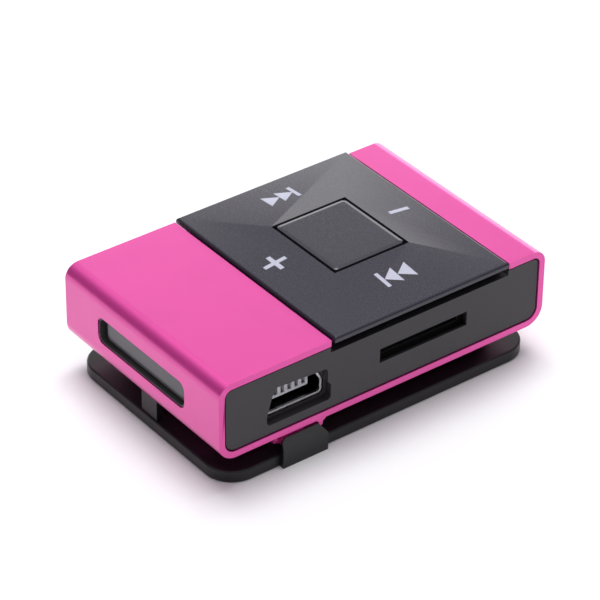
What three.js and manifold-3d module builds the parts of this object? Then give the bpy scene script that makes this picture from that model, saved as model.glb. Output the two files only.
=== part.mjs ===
// A clip-on digital audio player: an anodised sleeve open at both long sides, closed by black side plates,
// with a four-way rocker plate and a centre button on top, and a sprung belt clip underneath.
// Millimetres, +Z up. X runs along the length, and the front side with the USB and card sockets faces -Y.
// The origin is the middle of the clip's underside, which the player rests on.
import * as THREE from 'three';
import { mergeVertices } from 'three/addons/utils/BufferGeometryUtils.js';
import Module from 'manifold-3d';

const wasm = await Module();
wasm.setup();

// ---- Driving dimensions ----

const LENGTH = 46;
const WIDTH = 29.4;
const BODY_HEIGHT = 10;
const WALL = 0.8;
const CLIP_THICKNESS = 1.55;
const CLIP_GAP = 2.55;
const TOP_CORNER = 1.75;
const BOTTOM_CORNER = 2.3;
const FIT = 0.1;

const BODY_BOTTOM = CLIP_THICKNESS + CLIP_GAP;
const BODY_TOP = BODY_BOTTOM + BODY_HEIGHT;
const HALF_LENGTH = LENGTH / 2;
const HALF_WIDTH = WIDTH / 2;

const bay = { left: -7.8, right: 17.6 };
const rocker = { left: -7.5, right: 17.3, front: -15.0, back: 14.95, bottom: 13.75, rim: 14.45, crown: 15.3 };
const button = { x: 4.75, width: 9.9, depth: 11.1, gap: 0.35, top: 15.4 };
const gimbal = { halfX: 6.6, halfY: 7.2, bottom: 12.75, top: 13.4, pivot: 0.25, notch: 0.35 };
const hinge = { x: -11.8, z: 2.75, pinRadius: 0.6, eyeRadius: 0.7, lugRadius: 1.18 };
const plates = { thickness: 0.95, recess: 0.1, grooveFloor: 12.45 };
const board = { bottom: 7.2, top: 8.0 };
const keyBoard = { left: -7.0, right: 17.3, half: 12.9, bottom: 10.9, top: 11.7 };
const usb = {
  x: -12.0, z: 8.65, width: 7.7, narrow: 6.1, height: 3.8, front: 13.55, depth: 8.75, sheet: 0.3,
};
const card = { left: -0.85, right: 11.65, bottom: 8.1, top: 9.95, front: 13.55, depth: 15.05 };
const jack = { x: -13.5, z: 9.4, bore: 1.8, barrel: 2.5, width: 6.0, height: 4.8, depth: 11.6 };
const slider = { x: 6.0, z: 9.2, travel: 2.0, width: 2.6, height: 1.3, tip: 15.0 };
const endWindow = { half: 8.3, bottom: 7.45, top: 10.95, corner: 1.0 };
const clip = { left: -22.2, right: 22.05, half: 14.6, corner: 3.6, cheekLeft: -14.65, cheekRight: -8.45 };
const post = { left: -21.95, right: -21.15, width: 2.9, top: 4.2 };
const keyPlaces = {
  play: [button.x, 0],
  next: [button.x, 10.9],
  previous: [button.x, -10.9],
  louder: [-4.2, 0],
  quieter: [13.8, 0],
};

// ---- Solids: closed three.js geometries that can be joined and cut ----

function toSolid(geometry) {
  const bare = geometry.index ? geometry.toNonIndexed() : geometry;
  bare.deleteAttribute('normal');
  bare.deleteAttribute('uv');
  const merged = mergeVertices(bare, 1e-4);
  return new wasm.Manifold(new wasm.Mesh({
    numProp: 3,
    vertProperties: new Float32Array(merged.attributes.position.array),
    triVerts: new Uint32Array(merged.index.array),
  }));
}

function toGeometry(solid) {
  const mesh = solid.getMesh();
  const geometry = new THREE.BufferGeometry();
  geometry.setAttribute('position', new THREE.BufferAttribute(mesh.vertProperties, 3));
  geometry.setIndex(new THREE.BufferAttribute(mesh.triVerts, 1));
  return geometry;
}

function block([x0, x1], [y0, y1], [z0, z1]) {
  const geometry = new THREE.BoxGeometry(x1 - x0, y1 - y0, z1 - z0);
  geometry.translate((x0 + x1) / 2, (y0 + y1) / 2, (z0 + z1) / 2);
  return toSolid(geometry);
}

// Where a prism's outline lies: along X its axes are Y and Z, along Y they are X and Z,
// and along Z they are X and Y.
const axisX = new THREE.Vector3(1, 0, 0);
const axisY = new THREE.Vector3(0, 1, 0);
const axisZ = new THREE.Vector3(0, 0, 1);
const prismBases = {
  x: new THREE.Matrix4().makeBasis(axisY, axisZ, axisX),
  y: new THREE.Matrix4().makeBasis(axisX, axisZ, axisY.clone().negate()),
  z: new THREE.Matrix4(),
};

function prism(along, shape, [from, to], curveSegments = 6) {
  const geometry = new THREE.ExtrudeGeometry(shape, { depth: to - from, bevelEnabled: false, curveSegments });
  geometry.applyMatrix4(prismBases[along]);
  const shift = along === 'y' ? to : from;
  geometry.translate(...{ x: [shift, 0, 0], y: [0, shift, 0], z: [0, 0, shift] }[along]);
  return toSolid(geometry);
}

function roundedOutline([x0, x1], [y0, y1], lower, upper = lower) {
  const shape = new THREE.Shape();
  const quarter = Math.PI / 2;
  shape.absarc(x1 - lower, y0 + lower, lower, -quarter, 0);
  shape.absarc(x1 - upper, y1 - upper, upper, 0, quarter);
  shape.absarc(x0 + upper, y1 - upper, upper, quarter, 2 * quarter);
  shape.absarc(x0 + lower, y0 + lower, lower, 2 * quarter, 3 * quarter);
  shape.closePath();
  return shape;
}

function polygon(points) {
  return new THREE.Shape(points.map(([x, y]) => new THREE.Vector2(x, y)));
}

function rod(along, radius, [from, to], [a, b], sides = 24) {
  const shape = new THREE.Shape();
  shape.absarc(a, b, radius, 0, 2 * Math.PI);
  return prism(along, shape, [from, to], sides);
}

function centred(middle, size) {
  return [middle - size / 2, middle + size / 2];
}

function union(solids) {
  return solids.reduce((all, next) => all.add(next));
}

function cut(solid, ...tools) {
  return tools.reduce((left, tool) => left.subtract(tool), solid);
}

// ---- Finishes ----

function finish(color, roughness, metalness = 0) {
  return new THREE.MeshStandardMaterial({ color, roughness, metalness });
}

const finishes = {
  pinkMetal: finish(0xf055b0, 0.35, 0.7),
  blackPlastic: finish(0x3c3c42, 0.5),
  keyPlastic: finish(0x4a4a54, 0.35),
  clipPlastic: finish(0x1d1d20, 0.4),
  smoked: finish(0x3f4348, 0.2),
  silicone: finish(0x55565a, 0.8),
  steel: finish(0xb8bac0, 0.3, 1),
  contacts: finish(0xd9b45a, 0.3, 1),
  greyPlastic: finish(0xb9b9c2, 0.5),
  circuitBoard: finish(0x1f6b3a, 0.5),
  chip: finish(0x1b1b1d, 0.45),
  pouch: finish(0xc9ccd1, 0.35, 0.6),
  redLead: finish(0xb02020, 0.5),
  blackLead: finish(0x161616, 0.5),
  foam: finish(0x2b2b2b, 0.95),
  led: finish(0xe8f0ff, 0.2),
  ceramic: finish(0xa08a60, 0.6),
};

const player = new THREE.Group();

function addPart(name, solid, material) {
  const mesh = new THREE.Mesh(toGeometry(solid), material);
  mesh.name = name;
  player.add(mesh);
}

// ---- Sleeve: one extruded tube with the rocker bay, the end window and the hinge ears ----

function sleeveSection(inset) {
  return roundedOutline(
    [-HALF_LENGTH + inset, HALF_LENGTH - inset],
    [BODY_BOTTOM + inset, BODY_TOP - inset],
    BOTTOM_CORNER - inset,
    TOP_CORNER - inset,
  );
}

// Each ear hangs from the sleeve on two flared legs, with a slot between them. Its left leg is set back.
function hingeEar(side) {
  const outline = polygon([
    [-15.5, BODY_BOTTOM + WALL / 2],
    [-15.5, 3.3],
    [hinge.x - 1, 2.45],
    [hinge.x + 1, 2.45],
    [-8.85, 3.3],
    [-8.85, 3.7],
    [-8.45, BODY_BOTTOM],
    [-8.45, BODY_BOTTOM + WALL / 2],
  ]);
  const slot = polygon([
    [-14.95, 3.6], [-9.35, 3.6], [-9.35, 3.7], [-9.75, BODY_BOTTOM], [-14.55, BODY_BOTTOM], [-14.95, 3.7],
  ]);
  const [span, setback] = side < 0
    ? [[-HALF_WIDTH, -HALF_WIDTH + 0.6], [-HALF_WIDTH - 1, -HALF_WIDTH + 0.3]]
    : [[HALF_WIDTH - 0.6, HALF_WIDTH], [HALF_WIDTH - 0.3, HALF_WIDTH + 1]];
  const ear = cut(
    prism('y', outline, span),
    prism('y', slot, [span[0] - 1, span[1] + 1]),
    block([-16, -14.6], setback, [2, BODY_BOTTOM]),
  );
  return ear.add(rod('y', 1, span, [hinge.x, hinge.z]));
}

// The room the clip's post swings into when the clip is pressed open.
function postPocket(extra) {
  return block([post.left - 0.2 - extra, post.right + 0.9 + extra], centred(0, post.width + 0.6 + 2 * extra),
    [BODY_BOTTOM - 1, post.top + 2.6 + extra]);
}

function makeSleeve() {
  const through = [-HALF_WIDTH - 1, HALF_WIDTH + 1];
  const tube = cut(
    prism('y', sleeveSection(0), [-HALF_WIDTH, HALF_WIDTH]),
    prism('y', sleeveSection(WALL), through),
    block([bay.left, bay.right], through, [BODY_TOP - WALL - 0.4, BODY_TOP + 1]),
    prism('x', windowOutline(0), [-HALF_LENGTH - 1, -HALF_LENGTH + 2]),
    postPocket(0),
  );
  const bore = rod('y', hinge.eyeRadius, through, [hinge.x, hinge.z]);
  addPart('sleeve', cut(union([tube, hingeEar(-1), hingeEar(1)]), bore), finishes.pinkMetal);
}

// ---- Side plates that close the sleeve's two open sides ----

function sidePlate(side, openings) {
  const outer = HALF_WIDTH - plates.recess;
  const inner = outer - plates.thickness;
  const span = side < 0 ? [-outer, -inner] : [inner, outer];
  const ledge = side < 0 ? [-inner - FIT, -inner + 0.9] : [inner - 0.9, inner + FIT];
  const curbFoot = side < 0 ? [-inner - FIT, -inner + 0.45] : [inner - 0.45, inner + FIT];
  const curbTop = side < 0 ? [-inner + FIT, -inner + 0.45] : [inner - 0.45, inner - FIT];
  const panel = prism('y', sleeveSection(WALL + 0.2), span);
  const notch = block([bay.left, bay.right], [span[0] - 1, span[1] + 1], [plates.grooveFloor, BODY_TOP]);
  const shelf = block([-6.4, 16.8], ledge, [10.2, 10.8]);
  const curbLength = [bay.left + 0.3, bay.right - 0.3];
  const curb = union([
    block(curbLength, curbFoot, [plates.grooveFloor - 0.5, plates.grooveFloor]),
    block(curbLength, curbTop, [plates.grooveFloor - 0.5, 12.7]),
    block([rocker.left + 1.4, rocker.right - 1.4], curbTop, [plates.grooveFloor - 0.5, 13.0]),
  ]);
  return cut(panel.add(shelf), notch, ...openings).add(curb);
}

function usbOutline(inset) {
  const half = usb.width / 2 - inset;
  const top = usb.narrow / 2 - inset;
  const [low, high] = [usb.z - usb.height / 2 + inset, usb.z + usb.height / 2 - inset];
  const bend = usb.z - 0.1;
  return polygon([
    [usb.x - half + 0.4, low],
    [usb.x + half - 0.4, low],
    [usb.x + half, low + 0.4],
    [usb.x + half, bend],
    [usb.x + top, high - 0.3],
    [usb.x + top - 0.3, high],
    [usb.x - top + 0.3, high],
    [usb.x - top, high - 0.3],
    [usb.x - half, bend],
    [usb.x - half, low + 0.4],
  ]);
}

function makeSidePlates() {
  const outward = [-HALF_WIDTH - 1, -HALF_WIDTH + 2.5];
  const usbCutout = polygon([
    [-16.4, 6.2], [-8.1, 6.2], [-7.7, 6.6], [-7.7, 8.2], [-8.15, 8.65],
    [-8.15, 10.45], [-15.25, 10.9], [-15.8, 9.8], [-16.5, 7.4],
  ]);
  const face = sidePlate(-1, [
    prism('y', usbCutout, outward),
    block([card.left, card.right], outward, [card.bottom, card.top]),
    block([card.left - 0.2, card.right + 0.2], [-HALF_WIDTH + 0.35, -HALF_WIDTH + 2.5],
      [card.bottom - 0.5, card.top + 0.15]),
  ]);
  const back = -HALF_WIDTH + plates.recess + plates.thickness;
  const surround = cut(
    block([-17.2, -7.2], [back - FIT, back + 0.7], [6.0, 11.3]),
    prism('y', usbOutline(-0.12), outward),
  );
  addPart('front_plate', face.add(surround), finishes.blackPlastic);
  addPart('rear_plate', sidePlate(1, [
    rod('y', jack.barrel + FIT, [HALF_WIDTH - 2.5, HALF_WIDTH + 1], [jack.x, jack.z]),
    block([slider.x - 1.6, slider.x + slider.travel + 1.6], [HALF_WIDTH - 2.5, HALF_WIDTH + 1],
      centred(slider.z, slider.height + 0.4)),
  ]), finishes.blackPlastic);
}

// ---- Inner tray that carries the board and the battery ----

const screwPlaces = [[-19.2, -10.8], [-19.2, 10.8], [-5.0, -10.8], [0.6, 11.3]];

function makeTray() {
  const span = [-12.9, 12.9];
  const section = prism('y', sleeveSection(WALL + FIT), span);
  const hollow = block([-21.2, 21.2], [-14, 14], [BODY_BOTTOM + WALL + 0.9, BODY_TOP]);
  const overTop = block([-23, 23], [-14, 14], [12.6, BODY_TOP + 1]);
  const windowHole = block([-23, -20], [-endWindow.half - FIT, endWindow.half + FIT],
    [endWindow.bottom - FIT, endWindow.top + FIT]);
  const bosses = screwPlaces.map(([x, y]) => rod('z', 1.3, [5.4, board.bottom - 0.05], [x, y], 16));
  const pilots = screwPlaces.map(([x, y]) => rod('z', 0.65, [5.5, board.bottom + 1], [x, y], 12));
  const battery = union([
    block([12.75, 13.0], [-12.9, 12.9], [5.4, 7.6]),
    block([13.0, 21.4], [-12.9, -12.65], [5.4, 7.6]),
  ]);
  const tray = cut(section, hollow, overTop, windowHole).add(union(bosses)).add(battery);
  addPart('inner_tray', cut(tray, postPocket(0.1), ...pilots), finishes.blackPlastic);
}

// ---- Window in the sleeve's left end, over the status light ----

function windowOutline(inset) {
  return roundedOutline([-endWindow.half + inset, endWindow.half - inset],
    [endWindow.bottom + inset, endWindow.top - inset], endWindow.corner - inset * 0.6);
}

function makeWindow() {
  const bezel = cut(
    prism('x', windowOutline(0.06), [-HALF_LENGTH + 0.12, -21.35]),
    prism('x', windowOutline(0.22), [-HALF_LENGTH - 1, -20]),
  );
  addPart('window_bezel', bezel, finishes.blackPlastic);
  const paneOutline = roundedOutline([-endWindow.half + 0.3, endWindow.half - 0.9],
    [endWindow.bottom + 0.4, endWindow.top - 0.3], 0.7);
  addPart('window_pane', prism('x', paneOutline, [-22.35, -21.5]), finishes.smoked);
  addPart('status_led', block([-20.8, -19.4], [2.2, 3.8], [board.top, board.top + 0.8]), finishes.led);
}

// ---- Rocker plate: a shallow four-sided crown round the centre button ----

const rockerHole = {
  x: centred(button.x, button.width + 2 * button.gap),
  y: centred(0, button.depth + 2 * button.gap),
};

function rockerCrown() {
  const { x: holeX, y: holeY } = rockerHole;
  const corners = [
    [rocker.left, rocker.front, rocker.rim], [rocker.right, rocker.front, rocker.rim],
    [rocker.right, rocker.back, rocker.rim], [rocker.left, rocker.back, rocker.rim],
    [holeX[0], holeY[0], rocker.crown], [holeX[1], holeY[0], rocker.crown],
    [holeX[1], holeY[1], rocker.crown], [holeX[0], holeY[1], rocker.crown],
  ];
  const floor = corners.slice(0, 4).map(([cx, cy]) => [cx, cy, rocker.bottom]);
  const points = [...corners, ...floor];
  const quads = [
    [4, 5, 6, 7], [8, 11, 10, 9],
    [0, 1, 5, 4], [1, 2, 6, 5], [2, 3, 7, 6], [3, 0, 4, 7],
    [8, 9, 1, 0], [9, 10, 2, 1], [10, 11, 3, 2], [11, 8, 0, 3],
  ];
  const geometry = new THREE.BufferGeometry();
  geometry.setAttribute('position', new THREE.Float32BufferAttribute(points.flat(), 3));
  geometry.setIndex(quads.flatMap(([a, b, c, d]) => [a, b, c, a, c, d]));
  return toSolid(geometry);
}

function makeRocker() {
  const hole = block(rockerHole.x, rockerHole.y, [12, 17]);
  const underside = block([rocker.left + 1.2, rocker.right - 1.2], centred(0, WIDTH - 2.2),
    [rocker.bottom - 1, rocker.bottom + 0.35]);
  const ringSeat = block(centred(button.x, 15.4), centred(0, 17.4), [rocker.bottom - 1, rocker.bottom + 0.5]);
  const nubs = ['next', 'previous', 'louder', 'quieter'].map((key) => (
    rod('z', 1.2, [rocker.bottom - 0.35, rocker.bottom + 0.6], keyPlaces[key], 16)));
  const lugs = [-1, 1].map((side) => pivotLug(side, [gimbal.bottom + 0.05, rocker.bottom + 0.6]));
  const plate = cut(rockerCrown(), underside, ringSeat, hole);
  addPart('rocker_plate', union([plate, ...nubs, ...lugs]), finishes.keyPlastic);
}

// One of the two lugs under the rocker that hook over the ring's end pivots.
function pivotLug(side, height) {
  const y = centred(side * (gimbal.halfY + 0.375), 0.45);
  const notch = block(centred(button.x, 2 * gimbal.notch), [y[0] - 1, y[1] + 1],
    [height[0] - 1, (gimbal.bottom + gimbal.top) / 2 + gimbal.notch]);
  return cut(block(centred(button.x, 1.8), y, height), notch);
}

// The ring tilts front to back in the cradle, and the rocker tilts end to end on the ring.
function makeGimbal() {
  const middle = (gimbal.bottom + gimbal.top) / 2;
  const [x0, x1] = [button.x - gimbal.halfX, button.x + gimbal.halfX];
  const ring = cut(
    block([x0, x1], [-gimbal.halfY, gimbal.halfY], [gimbal.bottom, gimbal.top]),
    block(centred(button.x, 11.7), centred(0, 13.0), [12, 14]),
  );
  const pivots = [
    rod('x', gimbal.pivot, [x0 - 0.5, x0 + 0.2], [0, middle], 12),
    rod('x', gimbal.pivot, [x1 - 0.2, x1 + 0.5], [0, middle], 12),
    rod('y', gimbal.pivot, [-gimbal.halfY - 0.5, -gimbal.halfY + 0.2], [button.x, middle], 12),
    rod('y', gimbal.pivot, [gimbal.halfY - 0.2, gimbal.halfY + 0.5], [button.x, middle], 12),
  ];
  addPart('rocker_pivot_ring', union([ring, ...pivots]), finishes.blackPlastic);

  const frame = cut(
    block(centred(button.x, 14.4), centred(0, 15.8), [11.8, 12.2]),
    block(centred(button.x, 12.6), centred(0, 13.8), [11, 13]),
  );
  const posts = [[x0 - 0.6, x0 - 0.15], [x1 + 0.15, x1 + 0.6]].map((span) => cut(
    block(span, [-0.9, 0.9], [11.8, middle + 0.3]),
    block([span[0] - 1, span[1] + 1], [-gimbal.notch, gimbal.notch], [middle - gimbal.notch, 14]),
  ));
  addPart('rocker_cradle', union([frame, ...posts]), finishes.blackPlastic);
}

function makeCentreButton() {
  const bevel = 0.45;
  const lower = button.top - 0.3;
  const cap = prism('z', roundedOutline(centred(button.x, button.width), centred(0, button.depth), 0.4),
    [13.6, lower], 3);
  const slab = prism('z', roundedOutline(centred(button.x, button.width - 2 * bevel),
    centred(0, button.depth - 2 * bevel), 0.2), [lower - 0.5, button.top], 3);
  const flange = block(centred(button.x, button.width + 1.2), centred(0, button.depth + 1.2), [13.55, 13.95]);
  const stem = rod('z', 1.5, [12.4, 13.7], keyPlaces.play, 16);
  addPart('centre_button', union([cap, slab, flange, stem]), finishes.keyPlastic);
}

// ---- Key board: snap domes under a silicone sheet ----

function makeKeys() {
  addPart('key_board', block([keyBoard.left, keyBoard.right], [-keyBoard.half, keyBoard.half],
    [keyBoard.bottom, keyBoard.top]), finishes.circuitBoard);
  for (const [key, [x, y]] of Object.entries(keyPlaces)) {
    const profile = [[0, 0], [2, 0], [2, 0.1], [1.4, 0.2], [0, 0.26]];
    const dome = new THREE.LatheGeometry(profile.map(([r, z]) => new THREE.Vector2(r, z)), 16);
    dome.rotateX(Math.PI / 2);
    dome.translate(x, y, keyBoard.top);
    addPart(`dome_${key}`, toSolid(dome), finishes.steel);
  }
  const nubs = Object.entries(keyPlaces).filter(([key]) => key !== 'play')
    .map(([, place]) => rod('z', 1.5, [12.3, 12.9], place, 16));
  const sheet = block([-6.8, 17.1], [-12.8, 12.8], [12.1, 12.45]);
  const middle = block(centred(button.x, 14.6), centred(0, 16.2), [11, 14]);
  addPart('keypad_membrane', cut(sheet, middle).add(union(nubs)), finishes.silicone);
}

// ---- Main board and what is soldered to it ----

function makeMainBoard() {
  const outline = block([-21.0, 12.6], [-12.8, 12.8], [board.bottom, board.top]);
  const usbNotch = block(centred(usb.x, usb.width + 0.4), [-14, -usb.front + usb.depth + 0.2], [7, 9]);
  const jackNotch = block(centred(jack.x, jack.width + 0.4), [13.1 - jack.depth - 0.2, 14], [7, 9]);
  const holes = screwPlaces.map(([x, y]) => rod('z', 0.8, [7, 9], [x, y], 12));
  addPart('main_board', cut(outline, usbNotch, jackNotch, ...holes), finishes.circuitBoard);
  const top = board.top;
  addPart('controller_chip', block([-6.4, 0.6], [3.2, 9.4], [top, top + 0.9]), finishes.chip);
  addPart('amplifier_chip', block([3.4, 7.4], [3.0, 8.0], [top, top + 1.2]), finishes.chip);
  addPart('crystal_can', block([-6.6, -3.2], [-8.2, -6.0], [top, top + 0.9]), finishes.steel);
  [[-19.6, -6.5], [-6.2, 0.6], [-3.4, 0.6]].forEach(([x, y], n) => {
    const capacitor = block(centred(x, 1.6), centred(y, 0.8), [top, top + 0.8]);
    addPart(`capacitor_${n + 1}`, capacitor, finishes.ceramic);
  });
  const link = block([8.6, 12.2], [3.0, 5.0], [top, keyBoard.bottom - FIT]);
  addPart('board_link', link, finishes.chip);
  screwPlaces.forEach((place, n) => {
    const head = rod('z', 1.15, [top, top + 0.6], place, 16);
    addPart(`board_screw_${n + 1}`, head.add(rod('z', 0.6, [5.9, top + 0.1], place, 12)), finishes.steel);
  });
}

function makeUsbSocket() {
  const front = -usb.front;
  const back = front + usb.depth;
  addPart('usb_shell', cut(
    prism('y', usbOutline(0), [front, back]),
    prism('y', usbOutline(usb.sheet), [front - 1, back - 0.4]),
  ), finishes.steel);
  const tongue = { front: front + 0.85, bottom: 7.9, grooves: 8.22, top: 9.4 };
  const grooves = [-2, -1, 0, 1, 2].map((n) => usb.x + n * 0.95);
  const insert = cut(
    block(centred(usb.x, 5), [tongue.front, back - 1.6], [tongue.bottom, tongue.top]),
    ...grooves.map((x) => block(centred(x, 0.5), [front, back - 2.5], [tongue.grooves, tongue.top + 1])),
    ...grooves.map((x) => block(centred(x, 0.5), [tongue.front + 0.22, back - 2.5], [7, tongue.top + 1])),
  ).add(prism('y', usbOutline(usb.sheet + FIT), [back - 1.7, back - 0.5]));
  addPart('usb_tongue', insert, finishes.greyPlastic);
  grooves.forEach((x, n) => {
    const height = [tongue.grooves + 0.04, tongue.grooves + 0.2];
    const length = [tongue.front + 1.6, back - 2.6];
    addPart(`usb_contact_${n + 1}`, block(centred(x, 0.3), length, height), finishes.contacts);
  });
}

function makeCardSocket() {
  const [left, right] = [card.left - 0.75, card.right + 0.75];
  const [front, back] = [-card.front, -card.front + card.depth];
  const top = card.top - 0.05;
  const base = cut(
    block([left + 0.3, right - 0.3], [front + 0.1, back - 0.3], [board.top + 0.02, top - 0.3]),
    block([card.left + 0.6, card.right - 0.6], [front - 1, back - 1.6], [8.4, 12]),
  );
  // A lip hangs in front of the board's edge, so that nothing but black shows under the slot.
  const lip = block([left + 0.3, right - 0.3], [front + 0.1, -12.9], [7.3, 8.4]);
  addPart('card_base', base.add(lip), finishes.chip);
  const cover = cut(
    block([left, right], [front, back], [board.top + 0.02, top]),
    block([left + 0.2, right - 0.2], [front - 1, back - 0.2], [7, top - 0.2]),
  );
  addPart('card_cover', cover, finishes.steel);
  const fingers = Array.from({ length: 8 }, (_, n) => card.left + 1.9 + n * 1.25);
  const comb = block([fingers[0], fingers[7]], [-1.6, -1.2], [8.42, 8.6]);
  const springs = fingers.map((x) => block(centred(x, 0.5), [-6.5, -1.3], [8.42, 8.6]));
  addPart('card_contacts', union([comb, ...springs]), finishes.contacts);
}

function makeHeadphoneJack() {
  const back = 13.1 - jack.depth;
  const body = block(centred(jack.x, jack.width), [back, 13.1], centred(jack.z, jack.height));
  const barrel = rod('y', jack.barrel, [13.0, HALF_WIDTH - plates.recess + 0.05], [jack.x, jack.z]);
  const bore = rod('y', jack.bore, [back + 0.8, HALF_WIDTH + 1], [jack.x, jack.z]);
  const slots = [4.2, 7.4].map((y) => block([jack.x + 1, jack.x + 4], centred(y, 1.4), centred(jack.z, 1.4)));
  addPart('headphone_jack', cut(body.add(barrel), bore, ...slots), finishes.chip);
  const contacts = { sleeve: 7.4, tip: 4.2 };
  for (const [name, y] of Object.entries(contacts)) {
    const spring = block([jack.x + 1.95, jack.x + 2.8], centred(y, 0.9), centred(jack.z, 0.9));
    addPart(`headphone_contact_${name}`, spring, finishes.contacts);
  }
}

function makePowerSwitch() {
  const middle = slider.x + slider.travel / 2;
  const housing = cut(
    block(centred(middle, 8.6), [9.6, 12.7], [board.top + 0.02, 10.15]),
    block(centred(middle, 7.8), [10.0, 12.3], [8.25, 9.9]),
    block(centred(middle, slider.travel + slider.width + 0.5), [12, 14],
      centred(slider.z, slider.height + 0.2)),
  );
  addPart('switch_housing', housing, finishes.steel);
  const knob = block(centred(slider.x, slider.width), [11.9, slider.tip], centred(slider.z, slider.height))
    .add(block(centred(slider.x, 4.4), [10.3, 12.0], [8.35, 9.75]));
  addPart('switch_knob', knob, finishes.keyPlastic);
}

function makeBattery() {
  addPart('battery_pad', block([13.4, 20.9], [-11.6, 11.6], [5.95, 6.15]), finishes.foam);
  const cell = prism('y', roundedOutline([13.1, 21.1], [6.2, 10.2], 0.7), [-12.4, 11.4], 3);
  addPart('battery_cell', cell, finishes.pouch);
  addPart('battery_circuit', block([13.6, 20.6], [11.5, 12.7], [7.0, 9.0]), finishes.circuitBoard);
  const leads = {
    battery_lead_red: [finishes.redLead,
      [[14.6, 12.3, 9.25], [13.6, 12.35, 9.7], [12.6, 12.2, 9.3], [12.1, 12.1, 8.3]]],
    battery_lead_black: [finishes.blackLead,
      [[17.0, 11.9, 9.25], [15.5, 11.9, 10.5], [13.2, 11.6, 10.5], [12.5, 10.4, 9.8], [12.1, 10.0, 8.3]]],
  };
  const section = polygon(Array.from({ length: 8 }, (_, n) => {
    const angle = (n / 8) * 2 * Math.PI;
    return [0.2 * Math.cos(angle), 0.2 * Math.sin(angle)];
  }));
  for (const [name, [material, stops]] of Object.entries(leads)) {
    const route = new THREE.CatmullRomCurve3(stops.map((stop) => new THREE.Vector3(...stop)));
    const lead = new THREE.ExtrudeGeometry(section, { steps: 10, extrudePath: route, bevelEnabled: false });
    addPart(name, toSolid(lead), material);
  }
}

// ---- Belt clip: plate, hinge pin and torsion spring ----

function clipCheek(side) {
  const [low, top] = [0, BODY_BOTTOM - 0.25];
  const [outer, inner] = [15.25, 14.8];
  const profile = polygon([
    [outer, low], [outer, top - 1.35], [outer - 0.3, top], [inner, top], [inner, 1.4],
    [clip.half - 0.5, 1.4], [clip.half - 0.5, low],
  ].map(([y, z]) => [side * y, z]));
  const cheek = prism('x', profile, [clip.cheekLeft, clip.cheekRight]);
  const corner = (x, across, down) => prism('y',
    polygon([[x, top - down], [x, top + 1], [x + across, top + 1], [x + across, top]]),
    side < 0 ? [-16, -14.7] : [14.7, 16]);
  return cut(cheek, corner(clip.cheekLeft, 0.4, 0.4), corner(clip.cheekRight, -1.15, 1.5));
}

function makeClip() {
  const plate = prism('z', roundedOutline([clip.left, clip.right], [-clip.half, clip.half], clip.corner),
    [0, CLIP_THICKNESS]);
  const lugs = [[-13.9, -12.3], [12.3, 13.9]].map((span) => (
    rod('y', hinge.lugRadius, span, [hinge.x, hinge.z]).add(
      block(centred(hinge.x, 2 * hinge.lugRadius), span, [CLIP_THICKNESS - 0.5, hinge.z]))));
  const ribs = [[14.2, 3.0], [16.4, 3.4], [18.6, 3.75]].map(([x, top]) => (
    block(centred(x, 0.9), [-10, 10], [CLIP_THICKNESS - 0.5, top])));
  const grips = [-19.6, -17.8, -16.0, -14.2].map((x) => block(centred(x, 0.7), [-7, 7], [-1, 0.25]));
  const stop = block([post.left, post.right], centred(0, post.width), [CLIP_THICKNESS - 0.5, post.top]);
  const bore = rod('y', hinge.eyeRadius, [-14.2, 16], [hinge.x, hinge.z]);
  const whole = union([plate, stop, clipCheek(-1), clipCheek(1), ...lugs, ...ribs]);
  addPart('clip_plate', cut(whole, bore, ...grips), finishes.clipPlastic);
  addPart('hinge_pin', rod('y', hinge.pinRadius, [-14.65, 15.1], [hinge.x, hinge.z], 16), finishes.steel);
}

// A torsion spring wound round the hinge pin, with one leg under the sleeve and the other on the clip.
function makeClipSpring() {
  const spring = { wire: 0.2, radius: 0.9, reach: -18.6, half: 2.6, turns: 6.5, perTurn: 10 };
  const top = hinge.z + spring.radius;
  const bottom = hinge.z - spring.radius;
  const steps = spring.turns * spring.perTurn;
  const points = [
    new THREE.Vector3(spring.reach, -spring.half, top),
    new THREE.Vector3(hinge.x - 2, -spring.half, top),
  ];
  for (let n = 0; n <= steps; n += 1) {
    const angle = Math.PI / 2 - (n / spring.perTurn) * 2 * Math.PI;
    const y = spring.half * (2 * n / steps - 1);
    points.push(new THREE.Vector3(hinge.x + spring.radius * Math.cos(angle), y,
      hinge.z + spring.radius * Math.sin(angle)));
  }
  points.push(new THREE.Vector3(hinge.x - 2, spring.half, bottom));
  points.push(new THREE.Vector3(spring.reach, spring.half, bottom));
  const section = polygon(Array.from({ length: 6 }, (_, n) => {
    const angle = (n / 6) * 2 * Math.PI;
    return [spring.wire * Math.cos(angle), spring.wire * Math.sin(angle)];
  }));
  const route = new THREE.CatmullRomCurve3(points, false, 'centripetal');
  const coil = new THREE.ExtrudeGeometry(section, { steps: 96, extrudePath: route, bevelEnabled: false });
  addPart('clip_spring', toSolid(coil), finishes.steel);
}

makeSleeve();
makeSidePlates();
makeTray();
makeWindow();
makeRocker();
makeGimbal();
makeCentreButton();
makeKeys();
makeMainBoard();
makeUsbSocket();
makeCardSocket();
makeHeadphoneJack();
makePowerSwitch();
makeBattery();
makeClip();
makeClipSpring();

export default player;
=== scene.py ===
"""A clip-on digital audio player on a pale studio floor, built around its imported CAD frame.

Lengths in the making functions are millimetres, and every mesh is stored in metres.
"""

import math

import bmesh
import bpy
from mathutils import Matrix, Vector


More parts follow.
